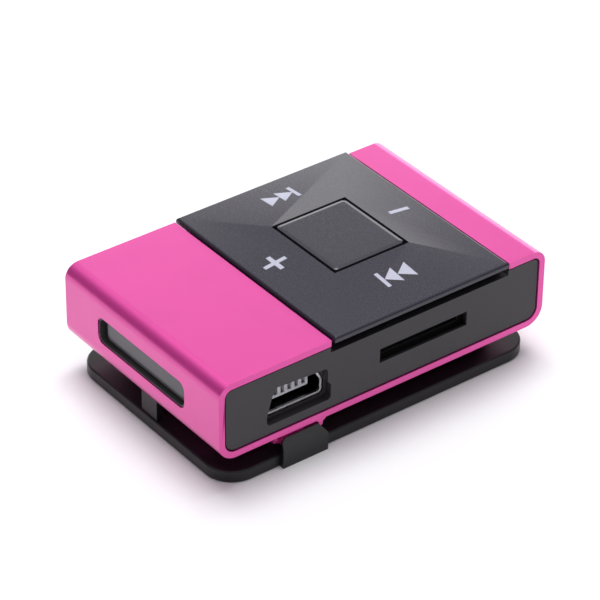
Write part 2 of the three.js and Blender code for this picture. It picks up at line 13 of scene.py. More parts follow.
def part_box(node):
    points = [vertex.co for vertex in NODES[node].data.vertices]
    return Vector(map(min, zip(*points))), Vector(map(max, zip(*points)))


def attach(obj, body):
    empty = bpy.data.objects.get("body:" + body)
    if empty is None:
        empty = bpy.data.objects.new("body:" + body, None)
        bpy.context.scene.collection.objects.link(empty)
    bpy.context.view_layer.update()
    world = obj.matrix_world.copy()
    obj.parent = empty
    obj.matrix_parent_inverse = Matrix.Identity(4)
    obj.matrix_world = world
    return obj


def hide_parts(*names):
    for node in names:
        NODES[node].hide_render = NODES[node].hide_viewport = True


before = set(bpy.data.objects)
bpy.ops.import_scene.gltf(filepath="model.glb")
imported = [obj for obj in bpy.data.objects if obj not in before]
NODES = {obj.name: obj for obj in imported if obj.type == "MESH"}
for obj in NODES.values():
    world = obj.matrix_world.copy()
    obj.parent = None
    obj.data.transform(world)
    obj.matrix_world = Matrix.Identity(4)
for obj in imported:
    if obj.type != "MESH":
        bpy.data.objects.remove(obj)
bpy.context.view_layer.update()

MM = 0.001


def span(node):
    """A CAD node's lowest and highest corners, in millimetres."""
    low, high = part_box(node)
    return low / MM, high / MM


# ---- Camera ----

CAMERA_AZIMUTH = math.radians(-37.656)
CAMERA_ELEVATION = math.radians(34.36)
CAMERA_ROLL = math.radians(0.67)
CAMERA_DISTANCE = 0.36383
CAMERA_AIM = Vector((0.62, 1.93, 6.89)) * MM
CAMERA_LENS = 190.07


def make_camera():
    back = Vector((
        math.sin(CAMERA_AZIMUTH) * math.cos(CAMERA_ELEVATION),
        -math.cos(CAMERA_AZIMUTH) * math.cos(CAMERA_ELEVATION),
        math.sin(CAMERA_ELEVATION),
    ))
    level = Vector((math.cos(CAMERA_AZIMUTH), math.sin(CAMERA_AZIMUTH), 0.0))
    upright = back.cross(level)
    right = math.cos(CAMERA_ROLL) * level + math.sin(CAMERA_ROLL) * upright
    up = back.cross(right)
    data = bpy.data.cameras.new("camera")
    data.lens = CAMERA_LENS
    data.sensor_width = 36.0
    data.clip_start = 0.01
    data.clip_end = 20.0
    camera = bpy.data.objects.new("camera", data)
    camera.matrix_world = Matrix((
        (right.x, up.x, back.x, 0),
        (right.y, up.y, back.y, 0),
        (right.z, up.z, back.z, 0),
        (0, 0, 0, 1),
    ))
    camera.location = CAMERA_AIM + CAMERA_DISTANCE * back
    bpy.context.scene.collection.objects.link(camera)
    bpy.context.scene.camera = camera


# ---- Node materials ----


class Shader:
    """A small helper round one Principled material and its node tree."""

    def __init__(self, name, color, roughness, **constants):
        self.material = bpy.data.materials.new(name)
        self.material.use_nodes = True
        self.tree = self.material.node_tree
        self.bsdf = self.tree.nodes["Principled BSDF"]
        self.bsdf.inputs["Base Color"].default_value = (*color, 1.0)
        self.bsdf.inputs["Roughness"].default_value = roughness
        for socket, value in constants.items():
            self.bsdf.inputs[socket.replace("_", " ")].default_value = value
        self.coordinates = self.tree.nodes.new("ShaderNodeTexCoord")

    def node(self, kind, **settings):
        made = self.tree.nodes.new(kind)
        for key, value in settings.items():
            if key in made.inputs:
                made.inputs[key].default_value = value
            else:
                setattr(made, key, value)
        return made

    def link(self, source, target):
        self.tree.links.new(source, target)

    def place(self, scale=(1, 1, 1)):
        """Object coordinates, stretched by a scale."""
        mapping = self.node("ShaderNodeMapping")
        mapping.inputs["Scale"].default_value = scale
        self.link(self.coordinates.outputs["Object"], mapping.inputs["Vector"])
        return mapping.outputs["Vector"]

    def noise(self, scale, detail=3.0, roughness=0.5, stretch=(1, 1, 1)):
        texture = self.node("ShaderNodeTexNoise", Scale=scale, Detail=detail, Roughness=roughness)
        self.link(self.place(stretch), texture.inputs["Vector"])
        return texture.outputs["Fac"]

    def vary(self, factor, low, high):
        """Maps a 0 to 1 texture to a range, steep round its middle."""
        spread = self.node("ShaderNodeMapRange")
        for socket, value in zip(("From Min", "From Max", "To Min", "To Max"), (0.3, 0.7, low, high)):
            spread.inputs[socket].default_value = value
        self.link(factor, spread.inputs["Value"])
        return spread.outputs["Result"]

    def mix(self, factor, first, second):
        ramp = self.node("ShaderNodeValToRGB")
        ramp.color_ramp.elements[0].position = 0.3
        ramp.color_ramp.elements[0].color = (*first, 1.0)
        ramp.color_ramp.elements[1].position = 0.7
        ramp.color_ramp.elements[1].color = (*second, 1.0)
        self.link(factor, ramp.inputs["Fac"])
        return ramp.outputs["Color"]

    def color(self, output):
        self.link(output, self.bsdf.inputs["Base Color"])

    def roughness(self, output):
        self.link(output, self.bsdf.inputs["Roughness"])

    def bump(self, height, strength, distance):
        bump = self.node("ShaderNodeBump", Strength=strength, Distance=distance)
        self.link(height, bump.inputs["Height"])
        self.link(bump.outputs["Normal"], self.bsdf.inputs["Normal"])


def shade(color, factor):
    return tuple(min(1.0, channel * factor) for channel in color)


def plastic_material(name, color, roughness, grain, bump, **constants):
    """Moulded plastic: a fine spark-eroded grain, with slightly uneven colour and gloss."""
    shader = Shader(name, color, roughness, **constants)
    shader.color(shader.mix(shader.noise(180.0, 2.0), shade(color, 0.95), shade(color, 1.05)))
    fine = shader.noise(grain, 3.0, 0.6)
    shader.roughness(shader.vary(fine, roughness - 0.03, roughness + 0.04))
    shader.bump(fine, bump, 0.00002)
    return shader.material


def metal_material(name, color, roughness, stretch=(1, 1, 1), grain=9000.0, bump=0.15, **constants):
    """Bare or plated metal, with drawing marks along one axis where it is stretched."""
    shader = Shader(name, color, roughness, Metallic=1.0, **constants)
    lines = shader.noise(grain, 2.0, 0.6, stretch)
    shader.color(shader.mix(shader.noise(500.0, 2.0), shade(color, 0.92), shade(color, 1.05)))
    shader.roughness(shader.vary(lines, roughness - 0.06, roughness + 0.08))
    shader.bump(lines, bump, 0.00001)
    return shader.material


def shell_material():
    """Tinned sheet in its own grey at the mouth, with painted shade darkening it to near black inside."""
    shader = Shader("tinned_shell_painted_shade", (0.6, 0.6, 0.61), 0.3, Metallic=1.0)
    place = shader.node("ShaderNodeSeparateXYZ")
    shader.link(shader.coordinates.outputs["Object"], place.inputs["Vector"])
    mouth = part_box("usb_shell")[0].y
    # Painted shade: the colour falls from the tinned grey to near black between 0.2 and 0.5 mm behind the
    # mouth, standing in for the shade inside the shell.
    painted_shade_depth = shader.node("ShaderNodeMapRange")
    painted_shade_depth.inputs["From Min"].default_value = mouth + 0.2 * MM
    painted_shade_depth.inputs["From Max"].default_value = mouth + 0.5 * MM
    shader.link(place.outputs["Y"], painted_shade_depth.inputs["Value"])
    shader.color(shader.mix(painted_shade_depth.outputs["Result"], (0.62, 0.62, 0.63), (0.03, 0.03, 0.032)))
    grain = shader.noise(5000.0, 2.0, 0.5)
    shader.roughness(shader.vary(grain, 0.26, 0.34))
    shader.bump(grain, 0.05, 0.00001)
    return shader.material


def anodised_material():
    """Bead-blasted and anodised aluminium."""
    pink = (0.77, 0.062, 0.36)
    shader = Shader("pink_anodised", pink, 0.32, Metallic=0.55, Coat_Weight=0.5, Coat_Roughness=0.22)
    blasted = shader.noise(7000.0, 3.0, 0.6)
    shader.color(shader.mix(shader.noise(110.0, 3.0), shade(pink, 0.97), shade(pink, 1.03)))
    shader.roughness(shader.vary(blasted, 0.28, 0.36))
    shader.bump(blasted, 0.12, 0.00002)
    return shader.material


def board_material():
    """Green solder mask with lighter copper tracks under it."""
    shader = Shader("solder_mask", (0.012, 0.12, 0.04), 0.35, Coat_Weight=0.3, Coat_Roughness=0.2)
    tracks = shader.node("ShaderNodeTexBrick", Scale=420.0)
    tracks.inputs["Mortar Size"].default_value = 0.03
    tracks.inputs["Color1"].default_value = (0.012, 0.12, 0.04, 1.0)
    tracks.inputs["Color2"].default_value = (0.01, 0.10, 0.035, 1.0)
    tracks.inputs["Mortar"].default_value = (0.06, 0.26, 0.1, 1.0)
    shader.link(shader.place(), tracks.inputs["Vector"])
    shader.color(tracks.outputs["Color"])
    shader.bump(tracks.outputs["Fac"], 0.2, 0.00003)
    return shader.material


def pouch_material():
    """Aluminium laminate, slightly wrinkled."""
    shader = Shader("laminate_foil", (0.62, 0.63, 0.66), 0.3, Metallic=0.9)
    creases = shader.noise(420.0, 5.0, 0.65)
    shader.roughness(shader.vary(creases, 0.24, 0.4))
    shader.bump(creases, 0.5, 0.00015)
    return shader.material


def foam_material():
    shader = Shader("cell_foam", (0.02, 0.02, 0.022), 0.95)
    cells = shader.node("ShaderNodeTexVoronoi", Scale=3500.0)
    shader.link(shader.place(), cells.inputs["Vector"])
    shader.color(shader.mix(cells.outputs["Distance"], (0.008, 0.008, 0.009), (0.04, 0.04, 0.044)))
    shader.bump(cells.outputs["Distance"], 0.6, 0.0001)
    return shader.material


def ink_material():
    """Pad-printed ink, a little uneven."""
    pale = (0.46, 0.47, 0.57)
    shader = Shader("printed_ink", pale, 0.55)
    speckle = shader.noise(2500.0, 4.0, 0.6)
    shader.color(shader.mix(speckle, shade(pale, 0.93), shade(pale, 1.06)))
    shader.bump(speckle, 0.1, 0.00001)
    return shader.material


def floor_material():
    shader = Shader("pale_floor", (0.93, 0.925, 0.94), 0.85)
    shader.color(shader.mix(shader.noise(6.0, 2.0), (0.925, 0.92, 0.935), (0.94, 0.935, 0.95)))
    return shader.material


MATERIALS = {
    "pink_metal": anodised_material(),
    "black_plastic": plastic_material("side_plastic", (0.028, 0.026, 0.031), 0.5, 5200.0, 0.2),
    "key_plastic": plastic_material("key_plastic", (0.029, 0.027, 0.040), 0.26, 9000.0, 0.02),
    "clip_plastic": plastic_material("clip_plastic", (0.010, 0.010, 0.011), 0.32, 4200.0, 0.06,
                                     Specular_IOR_Level=0.38),
    "smoked": plastic_material("smoked_window", (0.08, 0.077, 0.09), 0.22, 800.0, 0.03),
    "bezel": plastic_material("bezel_plastic", (0.05, 0.05, 0.05), 0.45, 3000.0, 0.06),
    "shell": shell_material(),
    "silicone": plastic_material("key_silicone", (0.09, 0.09, 0.1), 0.7, 1500.0, 0.1, Subsurface_Weight=0.1),
    "steel": metal_material("plated_steel", (0.62, 0.62, 0.63), 0.26, (1, 0.05, 1)),
    "contacts": metal_material("gold_plate", (0.90, 0.62, 0.24), 0.22, (1, 0.05, 1)),
    "grey_plastic": plastic_material("tongue_plastic", (0.66, 0.66, 0.70), 0.45, 3000.0, 0.1),
    "circuit_board": board_material(),
    "chip": plastic_material("moulded_epoxy", (0.012, 0.012, 0.013), 0.5, 3200.0, 0.25),
    "pouch": pouch_material(),
    "red_lead": plastic_material("red_insulation", (0.45, 0.012, 0.012), 0.4, 1200.0, 0.08),
    "black_lead": plastic_material("black_insulation", (0.010, 0.010, 0.010), 0.4, 1200.0, 0.08),
    "foam": foam_material(),
    "led": plastic_material("clear_epoxy", (0.80, 0.86, 0.90), 0.12, 900.0, 0.02, Transmission_Weight=0.6),
    "ceramic": plastic_material("fired_ceramic", (0.30, 0.22, 0.12), 0.5, 2600.0, 0.1),
    "ink": ink_material(),
}


# ---- Mesh helpers, in millimetres ----


def to_object(name, bm, material):
    """Stores a bmesh as an object, in metres, with its faces turned outwards."""
    bmesh.ops.recalc_face_normals(bm, faces=bm.faces)
    mesh = bpy.data.meshes.new(name)
    bm.to_mesh(mesh)
    bm.free()
    mesh.transform(Matrix.Scale(MM, 4))
    mesh.materials.append(MATERIALS[material])
    made = bpy.data.objects.new(name, mesh)
    bpy.context.scene.collection.objects.link(made)
    return made


def add_prism(bm, outline, span_from, span_to, axes):
    """Adds a closed prism. axes places the outline's first and second values and the length on X, Y and Z."""
    def corner(a, b, c):
        point = [0.0, 0.0, 0.0]
        for axis, value in zip(axes, (a, b, c)):
            point["XYZ".index(axis)] = value
        return bm.verts.new(point)

    low = [corner(a, b, span_from) for a, b in outline]
    high = [corner(a, b, span_to) for a, b in outline]
    count = len(outline)
    bm.faces.new(low)
    bm.faces.new(list(reversed(high)))
    for n in range(count):
        m = (n + 1) % count
        bm.faces.new((low[n], high[n], high[m], low[m]))


def rounded(x0, x1, y0, y1, lower, upper=None, steps=12):
    """A rounded rectangle's outline, with its own radius at the lower and the upper corners."""
    upper = lower if upper is None else upper
    corners = (
        (x1 - lower, y0 + lower, lower, -90), (x1 - upper, y1 - upper, upper, 0),
        (x0 + upper, y1 - upper, upper, 90), (x0 + lower, y0 + lower, lower, 180),
    )
    return [
        (cx + r * math.cos(math.radians(start + 90 * n / steps)),
         cy + r * math.sin(math.radians(start + 90 * n / steps)))
        for cx, cy, r, start in corners for n in range(steps + 1)
    ]


def circle(x, y, radius, steps=48):
    return [
        (x + radius * math.cos(2 * math.pi * n / steps), y + radius * math.sin(2 * math.pi * n / steps))
        for n in range(steps)
    ]


def prism(name, outline, span_from, span_to, axes, material="steel"):
    bm = bmesh.new()
    add_prism(bm, outline, span_from, span_to, axes)
    return to_object(name, bm, material)


def rectangle(a0, a1, b0, b1):
    return [(a0, b0), (a1, b0), (a1, b1), (a0, b1)]


def combine(target, tool, operation="DIFFERENCE"):
    """Cuts tool from target, or joins it on, and removes tool."""
    boolean = target.modifiers.new("combine", "BOOLEAN")
    boolean.operation = operation
    boolean.solver = "EXACT"
    boolean.object = tool
    bake(target)
    bpy.data.objects.remove(tool)


def bake(piece):
    """Applies a piece's modifiers."""
    evaluated = piece.evaluated_get(bpy.context.evaluated_depsgraph_get())
    mesh = bpy.data.meshes.new_from_object(evaluated)
    piece.modifiers.clear()
    old = piece.data
    piece.data = mesh
    bpy.data.meshes.remove(old)


def soften(piece, width, angle=32.0, segments=3, crease_area=10.0):
    """Rounds a piece's edges by width and shades it smoothly, with crisp creases between large facets."""
    bm = bmesh.new()
    bm.from_mesh(piece.data)
    bmesh.ops.remove_doubles(bm, verts=bm.verts, dist=0.0005 * MM)
    bmesh.ops.dissolve_limit(bm, angle_limit=math.radians(0.5), verts=bm.verts, edges=bm.edges)
    for edge in bm.edges:
        large = all(face.calc_area() > crease_area * MM * MM for face in edge.link_faces)
        if large and edge.is_manifold and math.radians(3) < edge.calc_face_angle() < math.radians(angle):
            edge.smooth = False
    bm.to_mesh(piece.data)
    bm.free()
    for face in piece.data.polygons:
        face.use_smooth = True
    bevel = piece.modifiers.new("edges", "BEVEL")
    bevel.width = width * MM
    bevel.segments = segments
    bevel.limit_method = "ANGLE"
    bevel.angle_limit = math.radians(angle)
    bevel.miter_outer = "MITER_ARC"
    normals = piece.modifiers.new("normals", "WEIGHTED_NORMAL")
    normals.keep_sharp = True
    normals.weight = 80
    bake(piece)


def settle(piece, body, material, *nodes):
    """Puts a finished piece on its body, in place of the CAD nodes that it stands for."""
    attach(piece, body)
    if nodes:
        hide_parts(*nodes)


def copy_node(node, name, material):
    """A new piece with a CAD node's shape."""
    piece = bpy.data.objects.new(name, NODES[node].data.copy())
    bpy.context.scene.collection.objects.link(piece)
    piece.data.materials.clear()
    piece.data.materials.append(MATERIALS[material])
    return piece


# ---- Shared sizes, read from the frame ----

SLEEVE_LOW, SLEEVE_HIGH = span("sleeve")
FRONT_LOW, FRONT_HIGH = span("front_plate")
REAR_LOW, REAR_HIGH = span("rear_plate")
ROCKER_LOW, ROCKER_HIGH = span("rocker_plate")
CLIP_LOW, CLIP_HIGH = span("clip_plate")
PIN_LOW, PIN_HIGH = span("hinge_pin")

BODY_BOTTOM = 4.1
BODY_TOP = SLEEVE_HIGH.z
HALF_LENGTH = SLEEVE_HIGH.x
HALF_WIDTH = SLEEVE_HIGH.y
WALL = 0.8
TOP_CORNER = 1.75
BOTTOM_CORNER = 2.3
BAY_LEFT, BAY_RIGHT = -7.8, 17.6
PLATE_THICKNESS = 0.95
GROOVE_FLOOR = 12.45
HINGE_X = (PIN_LOW.x + PIN_HIGH.x) / 2
HINGE_Z = (PIN_LOW.z + PIN_HIGH.z) / 2
BUTTON_X = 4.75
JACK_X, JACK_Z = -13.5, 9.4
SWITCH_Z = 9.2
CLIP_HALF_WIDTH = 14.6
CLIP_THICKNESS = 1.55
CLIP_CORNER = 3.6
LUG_RADIUS = 1.18
BORE_RADIUS = 0.7
OPEN_SPAN = (-40.0, 40.0)


def filleted(points, radius, steps=5):
    """A polygon's outline with each corner rounded."""
    outline = []
    count = len(points)
    for n, point in enumerate(points):
        here = Vector(point)
        before = Vector(points[n - 1]) - here
        after = Vector(points[(n + 1) % count]) - here
        half = before.angle(after) / 2
        reach = min(radius / math.tan(half), before.length * 0.49, after.length * 0.49)
        size = reach * math.tan(half)
        start = here + before.normalized() * reach
        end = here + after.normalized() * reach
        middle = here + (before.normalized() + after.normalized()).normalized() * (size / math.sin(half))
        for k in range(steps + 1):
            spoke = (start - middle).lerp(end - middle, k / steps)
            outline.append(tuple(middle + spoke.normalized() * size))
    return outline


def body_section(inset):
    """The sleeve's outline across its length, moved in by inset."""
    return rounded(-HALF_LENGTH + inset, HALF_LENGTH - inset, BODY_BOTTOM + inset, BODY_TOP - inset,
                   BOTTOM_CORNER - inset, TOP_CORNER - inset)


def block(x, y, z, name="block"):
    return prism(name, rectangle(*x, *y), *z, "XYZ")


# ---- Sleeve ----


def make_ear(side):
    """A hinge ear on two flared legs, with a slot between them and its left leg set back."""
    y_span = sorted((side * HALF_WIDTH, side * (HALF_WIDTH - 0.6)))
    outline = [(-15.5, 4.5), (-15.5, 3.3), (HINGE_X - 1, 2.45), (HINGE_X + 1, 2.45),
               (-8.85, 3.3), (-8.85, 3.7), (-8.35, BODY_BOTTOM), (-8.35, 4.5)]
    ear = prism("ear", filleted(outline, 0.3), *y_span, "XZY")
    slot = [(-14.95, 3.6), (-9.35, 3.6), (-9.35, 3.75), (-9.7, 4.05), (-14.6, 4.05), (-14.95, 3.75)]
    combine(ear, prism("slot", filleted(slot, 0.1), *OPEN_SPAN, "XZY"))
    setback = sorted((side * (HALF_WIDTH - 0.3), side * (HALF_WIDTH + 1)))
    combine(ear, block((-16, -14.6), setback, (2, BODY_BOTTOM)))
    barrel = prism("barrel", circle(HINGE_X, HINGE_Z, HINGE_Z - SLEEVE_LOW.z), *y_span, "XZY")
    combine(ear, barrel, "UNION")
    return ear


def make_sleeve():
    sleeve = prism("anodised_sleeve", body_section(0), -HALF_WIDTH, HALF_WIDTH, "XZY", "pink_metal")
    for side in (-1, 1):
        combine(sleeve, make_ear(side), "UNION")
    combine(sleeve, prism("hollow", body_section(WALL), *OPEN_SPAN, "XZY"))
    combine(sleeve, block((BAY_LEFT, BAY_RIGHT), OPEN_SPAN, (BODY_TOP - WALL - 0.4, BODY_TOP + 1)))
    combine(sleeve, prism("slot", window_section(0), -HALF_LENGTH - 1, -HALF_LENGTH + 2, "YZX"))
    combine(sleeve, block((-22.15, -20.25), (-1.75, 1.75), (BODY_BOTTOM - 1, 6.8)))
    combine(sleeve, prism("eye", circle(HINGE_X, HINGE_Z, BORE_RADIUS), *OPEN_SPAN, "XZY"))
    soften(sleeve, 0.14)
    settle(sleeve, "housing", "pink_metal", "sleeve")


# ---- Side plates ----


def plate_blank(name, low, high, side):
    """A side plate: the relieved edge under the rocker, the key board's shelf and the curb behind it."""
    outer = high.y if side > 0 else low.y
    inner = outer - side * PLATE_THICKNESS
    plate = prism(name, body_section(WALL + 0.2), *sorted((outer, inner)), "XZY", "black_plastic")
    combine(plate, block((BAY_LEFT, BAY_RIGHT), OPEN_SPAN, (GROOVE_FLOOR, BODY_TOP)))
    shelf = sorted((inner + side * 0.1, inner - side * 0.9))
    combine(plate, block((-6.4, 16.8), shelf, (10.2, 10.8)), "UNION")
    foot = sorted((inner + side * 0.1, inner - side * 0.45))
    curb = sorted((inner - side * 0.1, inner - side * 0.45))
    length = (BAY_LEFT + 0.3, BAY_RIGHT - 0.3)
    combine(plate, block(length, foot, (GROOVE_FLOOR - 0.5, GROOVE_FLOOR)), "UNION")
    combine(plate, block(length, curb, (GROOVE_FLOOR - 0.3, 12.7)), "UNION")
    middle = (ROCKER_LOW.x + 1.4, ROCKER_HIGH.x - 1.4)
    combine(plate, block(middle, curb, (GROOVE_FLOOR - 0.3, 13.0)), "UNION")
    return plate


def usb_section(inset):
    """The mini USB shell's outline, moved in by inset: wide below, pinched in above."""
    low, high = span("usb_shell")
    middle = (low.x + high.x) / 2
    half = (high.x - low.x) / 2 - inset
    top = 3.05 - inset
    bend = (low.z + high.z) / 2 - 0.1
    points = [(middle - half, low.z + inset), (middle + half, low.z + inset), (middle + half, bend),
              (middle + top, high.z - inset - 0.35), (middle + top, high.z - inset),
              (middle - top, high.z - inset), (middle - top, high.z - inset - 0.35), (middle - half, bend)]
    return filleted(points, max(0.12, 0.55 - inset), 5)


def make_front_plate():
    plate = plate_blank("socket_plate", FRONT_LOW, FRONT_HIGH, -1)
    cutout = [(-16.4, 6.2), (-7.7, 6.2), (-7.7, 8.2), (-8.15, 8.65), (-8.15, 10.45), (-15.25, 10.9),
              (-15.8, 9.8), (-16.5, 7.4)]
    combine(plate, prism("cutout", filleted(cutout, 0.4), -20, -13, "XZY"))
    combine(plate, block((-0.85, 11.65), (-20, -13), (8.1, 9.95)))
    combine(plate, block((-1.05, 11.85), (-HALF_WIDTH + 0.35, -13), (7.6, 10.1)))
    back = FRONT_LOW.y + PLATE_THICKNESS
    surround = block((-17.2, -7.2), (back - 0.05, back + 0.7), (6.0, 11.3), "surround")
    combine(surround, prism("shell_space", usb_section(-0.1), *OPEN_SPAN, "XZY"))
    combine(plate, surround, "UNION")
    soften(plate, 0.06)
    settle(plate, "housing", "black_plastic", "front_plate")


def make_rear_plate():
    plate = plate_blank("jack_plate", REAR_LOW, REAR_HIGH, 1)
    combine(plate, prism("jack_hole", circle(JACK_X, JACK_Z, 2.6, 64), 13, 20, "XZY"))
    slot = rounded(4.4, 9.6, 8.35, 10.05, 0.3, steps=4)
    combine(plate, prism("switch_slot", slot, 13, 20, "XZY"))
    soften(plate, 0.06)
    settle(plate, "housing", "black_plastic", "rear_plate")


# ---- Rocker plate, its printed symbols and the centre button ----

ROCKER_LEFT, ROCKER_RIGHT = ROCKER_LOW.x, ROCKER_HIGH.x
ROCKER_FRONT, ROCKER_BACK = ROCKER_LOW.y, ROCKER_HIGH.y
ROCKER_BOTTOM, ROCKER_RIM, ROCKER_CROWN = 13.75, 14.45, ROCKER_HIGH.z
HOLE = (BUTTON_X - 5.3, BUTTON_X + 5.3, -5.9, 5.9)
NUBS = ((BUTTON_X, 10.9), (BUTTON_X, -10.9), (-4.2, 0.0), (13.8, 0.0))


def rocker_height(x, y):
    """The height of the rocker's top at a point: four shallow facets that rise to the hole."""
    rise = min(
        (x - ROCKER_LEFT) / (HOLE[0] - ROCKER_LEFT),
        (ROCKER_RIGHT - x) / (ROCKER_RIGHT - HOLE[1]),
        (y - ROCKER_FRONT) / (HOLE[2] - ROCKER_FRONT),
        (ROCKER_BACK - y) / (ROCKER_BACK - HOLE[3]),
        1.0,
    )
    return ROCKER_RIM + rise * (ROCKER_CROWN - ROCKER_RIM)


def make_rocker():
    bm = bmesh.new()
    corners = rectangle(ROCKER_LEFT, ROCKER_RIGHT, ROCKER_FRONT, ROCKER_BACK)
    inner = rectangle(*HOLE)
    floor = [bm.verts.new((x, y, ROCKER_BOTTOM)) for x, y in corners]
    rim = [bm.verts.new((x, y, ROCKER_RIM)) for x, y in corners]
    crown = [bm.verts.new((x, y, ROCKER_CROWN)) for x, y in inner]
    bm.faces.new(floor)
    bm.faces.new(crown)
    for n in range(4):
        m = (n + 1) % 4
        bm.faces.new((floor[n], floor[m], rim[m], rim[n]))
        bm.faces.new((rim[n], rim[m], crown[m], crown[n]))
    edges = [edge for edge in bm.edges if all(v in rim for v in edge.verts)]
    bmesh.ops.recalc_face_normals(bm, faces=bm.faces)
    bmesh.ops.bevel(bm, geom=edges, offset=0.36, segments=6, profile=0.5, affect="EDGES")
    rocker = to_object("rocker_key", bm, "key_plastic")
    combine(rocker, block((ROCKER_LEFT + 1.2, ROCKER_RIGHT - 1.2), (-13.6, 13.6), (12, ROCKER_BOTTOM + 0.35)))
    combine(rocker, block((BUTTON_X - 7.7, BUTTON_X + 7.7), (-8.7, 8.7), (12, ROCKER_BOTTOM + 0.5)))
    combine(rocker, block(HOLE[:2], HOLE[2:], (12, 17)))
    for x, y in NUBS:
        nub = prism("nub", circle(x, y, 1.2), ROCKER_LOW.z + 0.55, ROCKER_BOTTOM + 0.6, "XYZ")
        combine(rocker, nub, "UNION")
    for side in (-1, 1):
        y_span = sorted((side * 7.35, side * 7.8))
        lug = block((BUTTON_X - 0.9, BUTTON_X + 0.9), y_span, (12.8, ROCKER_BOTTOM + 0.6), "lug")
        combine(lug, block((BUTTON_X - 0.35, BUTTON_X + 0.35), (y_span[0] - 1, y_span[1] + 1), (12, 13.425)))
        combine(rocker, lug, "UNION")
    soften(rocker, 0.05)
    settle(rocker, "rocker", "key_plastic", "rocker_plate")


def arrow(base, tip, y, half):
    """A triangle on its side, from its base to its tip along X."""
    return [(base, y - half), (tip, y), (base, y + half)]


def make_symbols():
    """Next, previous, quieter and louder, printed on the four facets."""
    plus = (-4.27, 0.25)
    shapes = [
        arrow(2.5, 4.4, 10.95, 1.2), arrow(4.4, 6.3, 10.95, 1.2), rectangle(6.22, 6.7, 9.7, 12.2),
        arrow(5.3, 3.5, -9.75, 1.35), arrow(7.25, 5.35, -9.75, 1.35), rectangle(2.98, 3.48, -11.1, -8.4),
        rectangle(12.35, 15.15, 0.2, 0.78),
        rectangle(plus[0] - 1.5, plus[0] + 1.5, plus[1] - 0.28, plus[1] + 0.28),
        rectangle(plus[0] - 0.28, plus[0] + 0.28, plus[1] + 0.28, plus[1] + 1.4),
        rectangle(plus[0] - 0.28, plus[0] + 0.28, plus[1] - 1.4, plus[1] - 0.28),
    ]
    bm = bmesh.new()
    for shape in shapes:
        low = [bm.verts.new((x, y, rocker_height(x, y) - 0.03)) for x, y in shape]
        high = [bm.verts.new((x, y, rocker_height(x, y) + 0.012)) for x, y in shape]
        bm.faces.new(low)
        bm.faces.new(list(reversed(high)))
        for n in range(len(shape)):
            m = (n + 1) % len(shape)
            bm.faces.new((low[n], high[n], high[m], low[m]))
    symbols = to_object("rocker_symbols", bm, "ink")
    settle(symbols, "rocker", "key_plastic")


def make_button():
    low, high = span("centre_button")
    half_x, half_y = 4.95, 5.55
    bm = bmesh.new()
    rings = []
    for inset, z in ((0, 13.65), (0, high.z - 0.09), (0.42, high.z)):
        x, y = half_x - inset, half_y - inset
        outline = rounded(BUTTON_X - x, BUTTON_X + x, -y, y, 0.45 - inset / 2, steps=5)
        rings.append([bm.verts.new((*point, z)) for point in outline])
    bm.faces.new(rings[0])
    bm.faces.new(rings[-1])
    for lower, upper in zip(rings, rings[1:]):
        for n in range(len(lower)):
            bm.faces.new((lower[n - 1], lower[n], upper[n], upper[n - 1]))
    button = to_object("centre_key", bm, "key_plastic")
    combine(button, block((low.x, high.x), (low.y, high.y), (13.55, 13.95)), "UNION")
    combine(button, prism("stem", circle(BUTTON_X, 0, 1.5), low.z, 13.7, "XYZ"), "UNION")
    soften(button, 0.05, angle=8, segments=2)
    settle(button, "centre_key", "key_plastic", "centre_button")


# ---- Belt clip ----

CHEEK_LEFT, CHEEK_RIGHT, CHEEK_TOP = -14.65, -8.45, 3.85


def make_clip():
    bm = bmesh.new()
    outline = rounded(CLIP_LOW.x, CLIP_HIGH.x, -CLIP_HALF_WIDTH, CLIP_HALF_WIDTH, CLIP_CORNER, steps=16)
    add_prism(bm, outline, 0, CLIP_THICKNESS, "XYZ")
    bmesh.ops.recalc_face_normals(bm, faces=bm.faces)
    around = [edge for edge in bm.edges if abs(edge.verts[0].co.z - edge.verts[1].co.z) < 0.001]
    bmesh.ops.bevel(bm, geom=around, offset=0.22, segments=5, profile=0.5, affect="EDGES")
    clip = to_object("belt_clip", bm, "clip_plastic")
    for side in (-1, 1):
        profile = [(14.1, 0.0), (15.25, 0.0), (15.25, 2.5), (14.95, CHEEK_TOP), (14.8, CHEEK_TOP),
                   (14.8, 1.4), (14.1, 1.4)]
        cheek = prism("cheek", [(side * y, z) for y, z in profile], CHEEK_LEFT, CHEEK_RIGHT, "YZX")
        for x, across, down in ((CHEEK_LEFT, 0.4, 0.4), (CHEEK_RIGHT, -1.15, 1.5)):
            corner = [(x, CHEEK_TOP - down), (x + across, CHEEK_TOP), (x + across, 5), (x - across, 5),
                      (x - across, CHEEK_TOP - down)]
            combine(cheek, prism("corner", corner, *sorted((side * 14.6, side * 16)), "XZY"))
        combine(clip, cheek, "UNION")
        lug_span = sorted((side * 12.3, side * 13.9))
        combine(clip, prism("lug", circle(HINGE_X, HINGE_Z, LUG_RADIUS), *lug_span, "XZY"), "UNION")
        combine(clip, block((HINGE_X - LUG_RADIUS, HINGE_X + LUG_RADIUS), lug_span, (1.2, HINGE_Z)), "UNION")
    combine(clip, block((-21.95, -21.15), (-1.45, 1.45), (1.2, 4.2)), "UNION")
    for x, top in ((14.2, 3.0), (16.4, 3.4), (18.6, 3.75)):
        combine(clip, block((x - 0.45, x + 0.45), (-10, 10), (1.2, top)), "UNION")
    for x in (-19.6, -17.8, -16.0, -14.2):
        combine(clip, block((x - 0.35, x + 0.35), (-7, 7), (-1, 0.25)))
    combine(clip, prism("bore", circle(HINGE_X, HINGE_Z, BORE_RADIUS), -14.2, 16, "XZY"))
    soften(clip, 0.1)
    settle(clip, "clip", "clip_plastic", "clip_plate")


def make_pin():
    pin = prism("clip_pin", circle(HINGE_X, HINGE_Z, 0.6), PIN_LOW.y, PIN_HIGH.y, "XZY")
    soften(pin, 0.12)
    settle(pin, "clip", "steel", "hinge_pin")


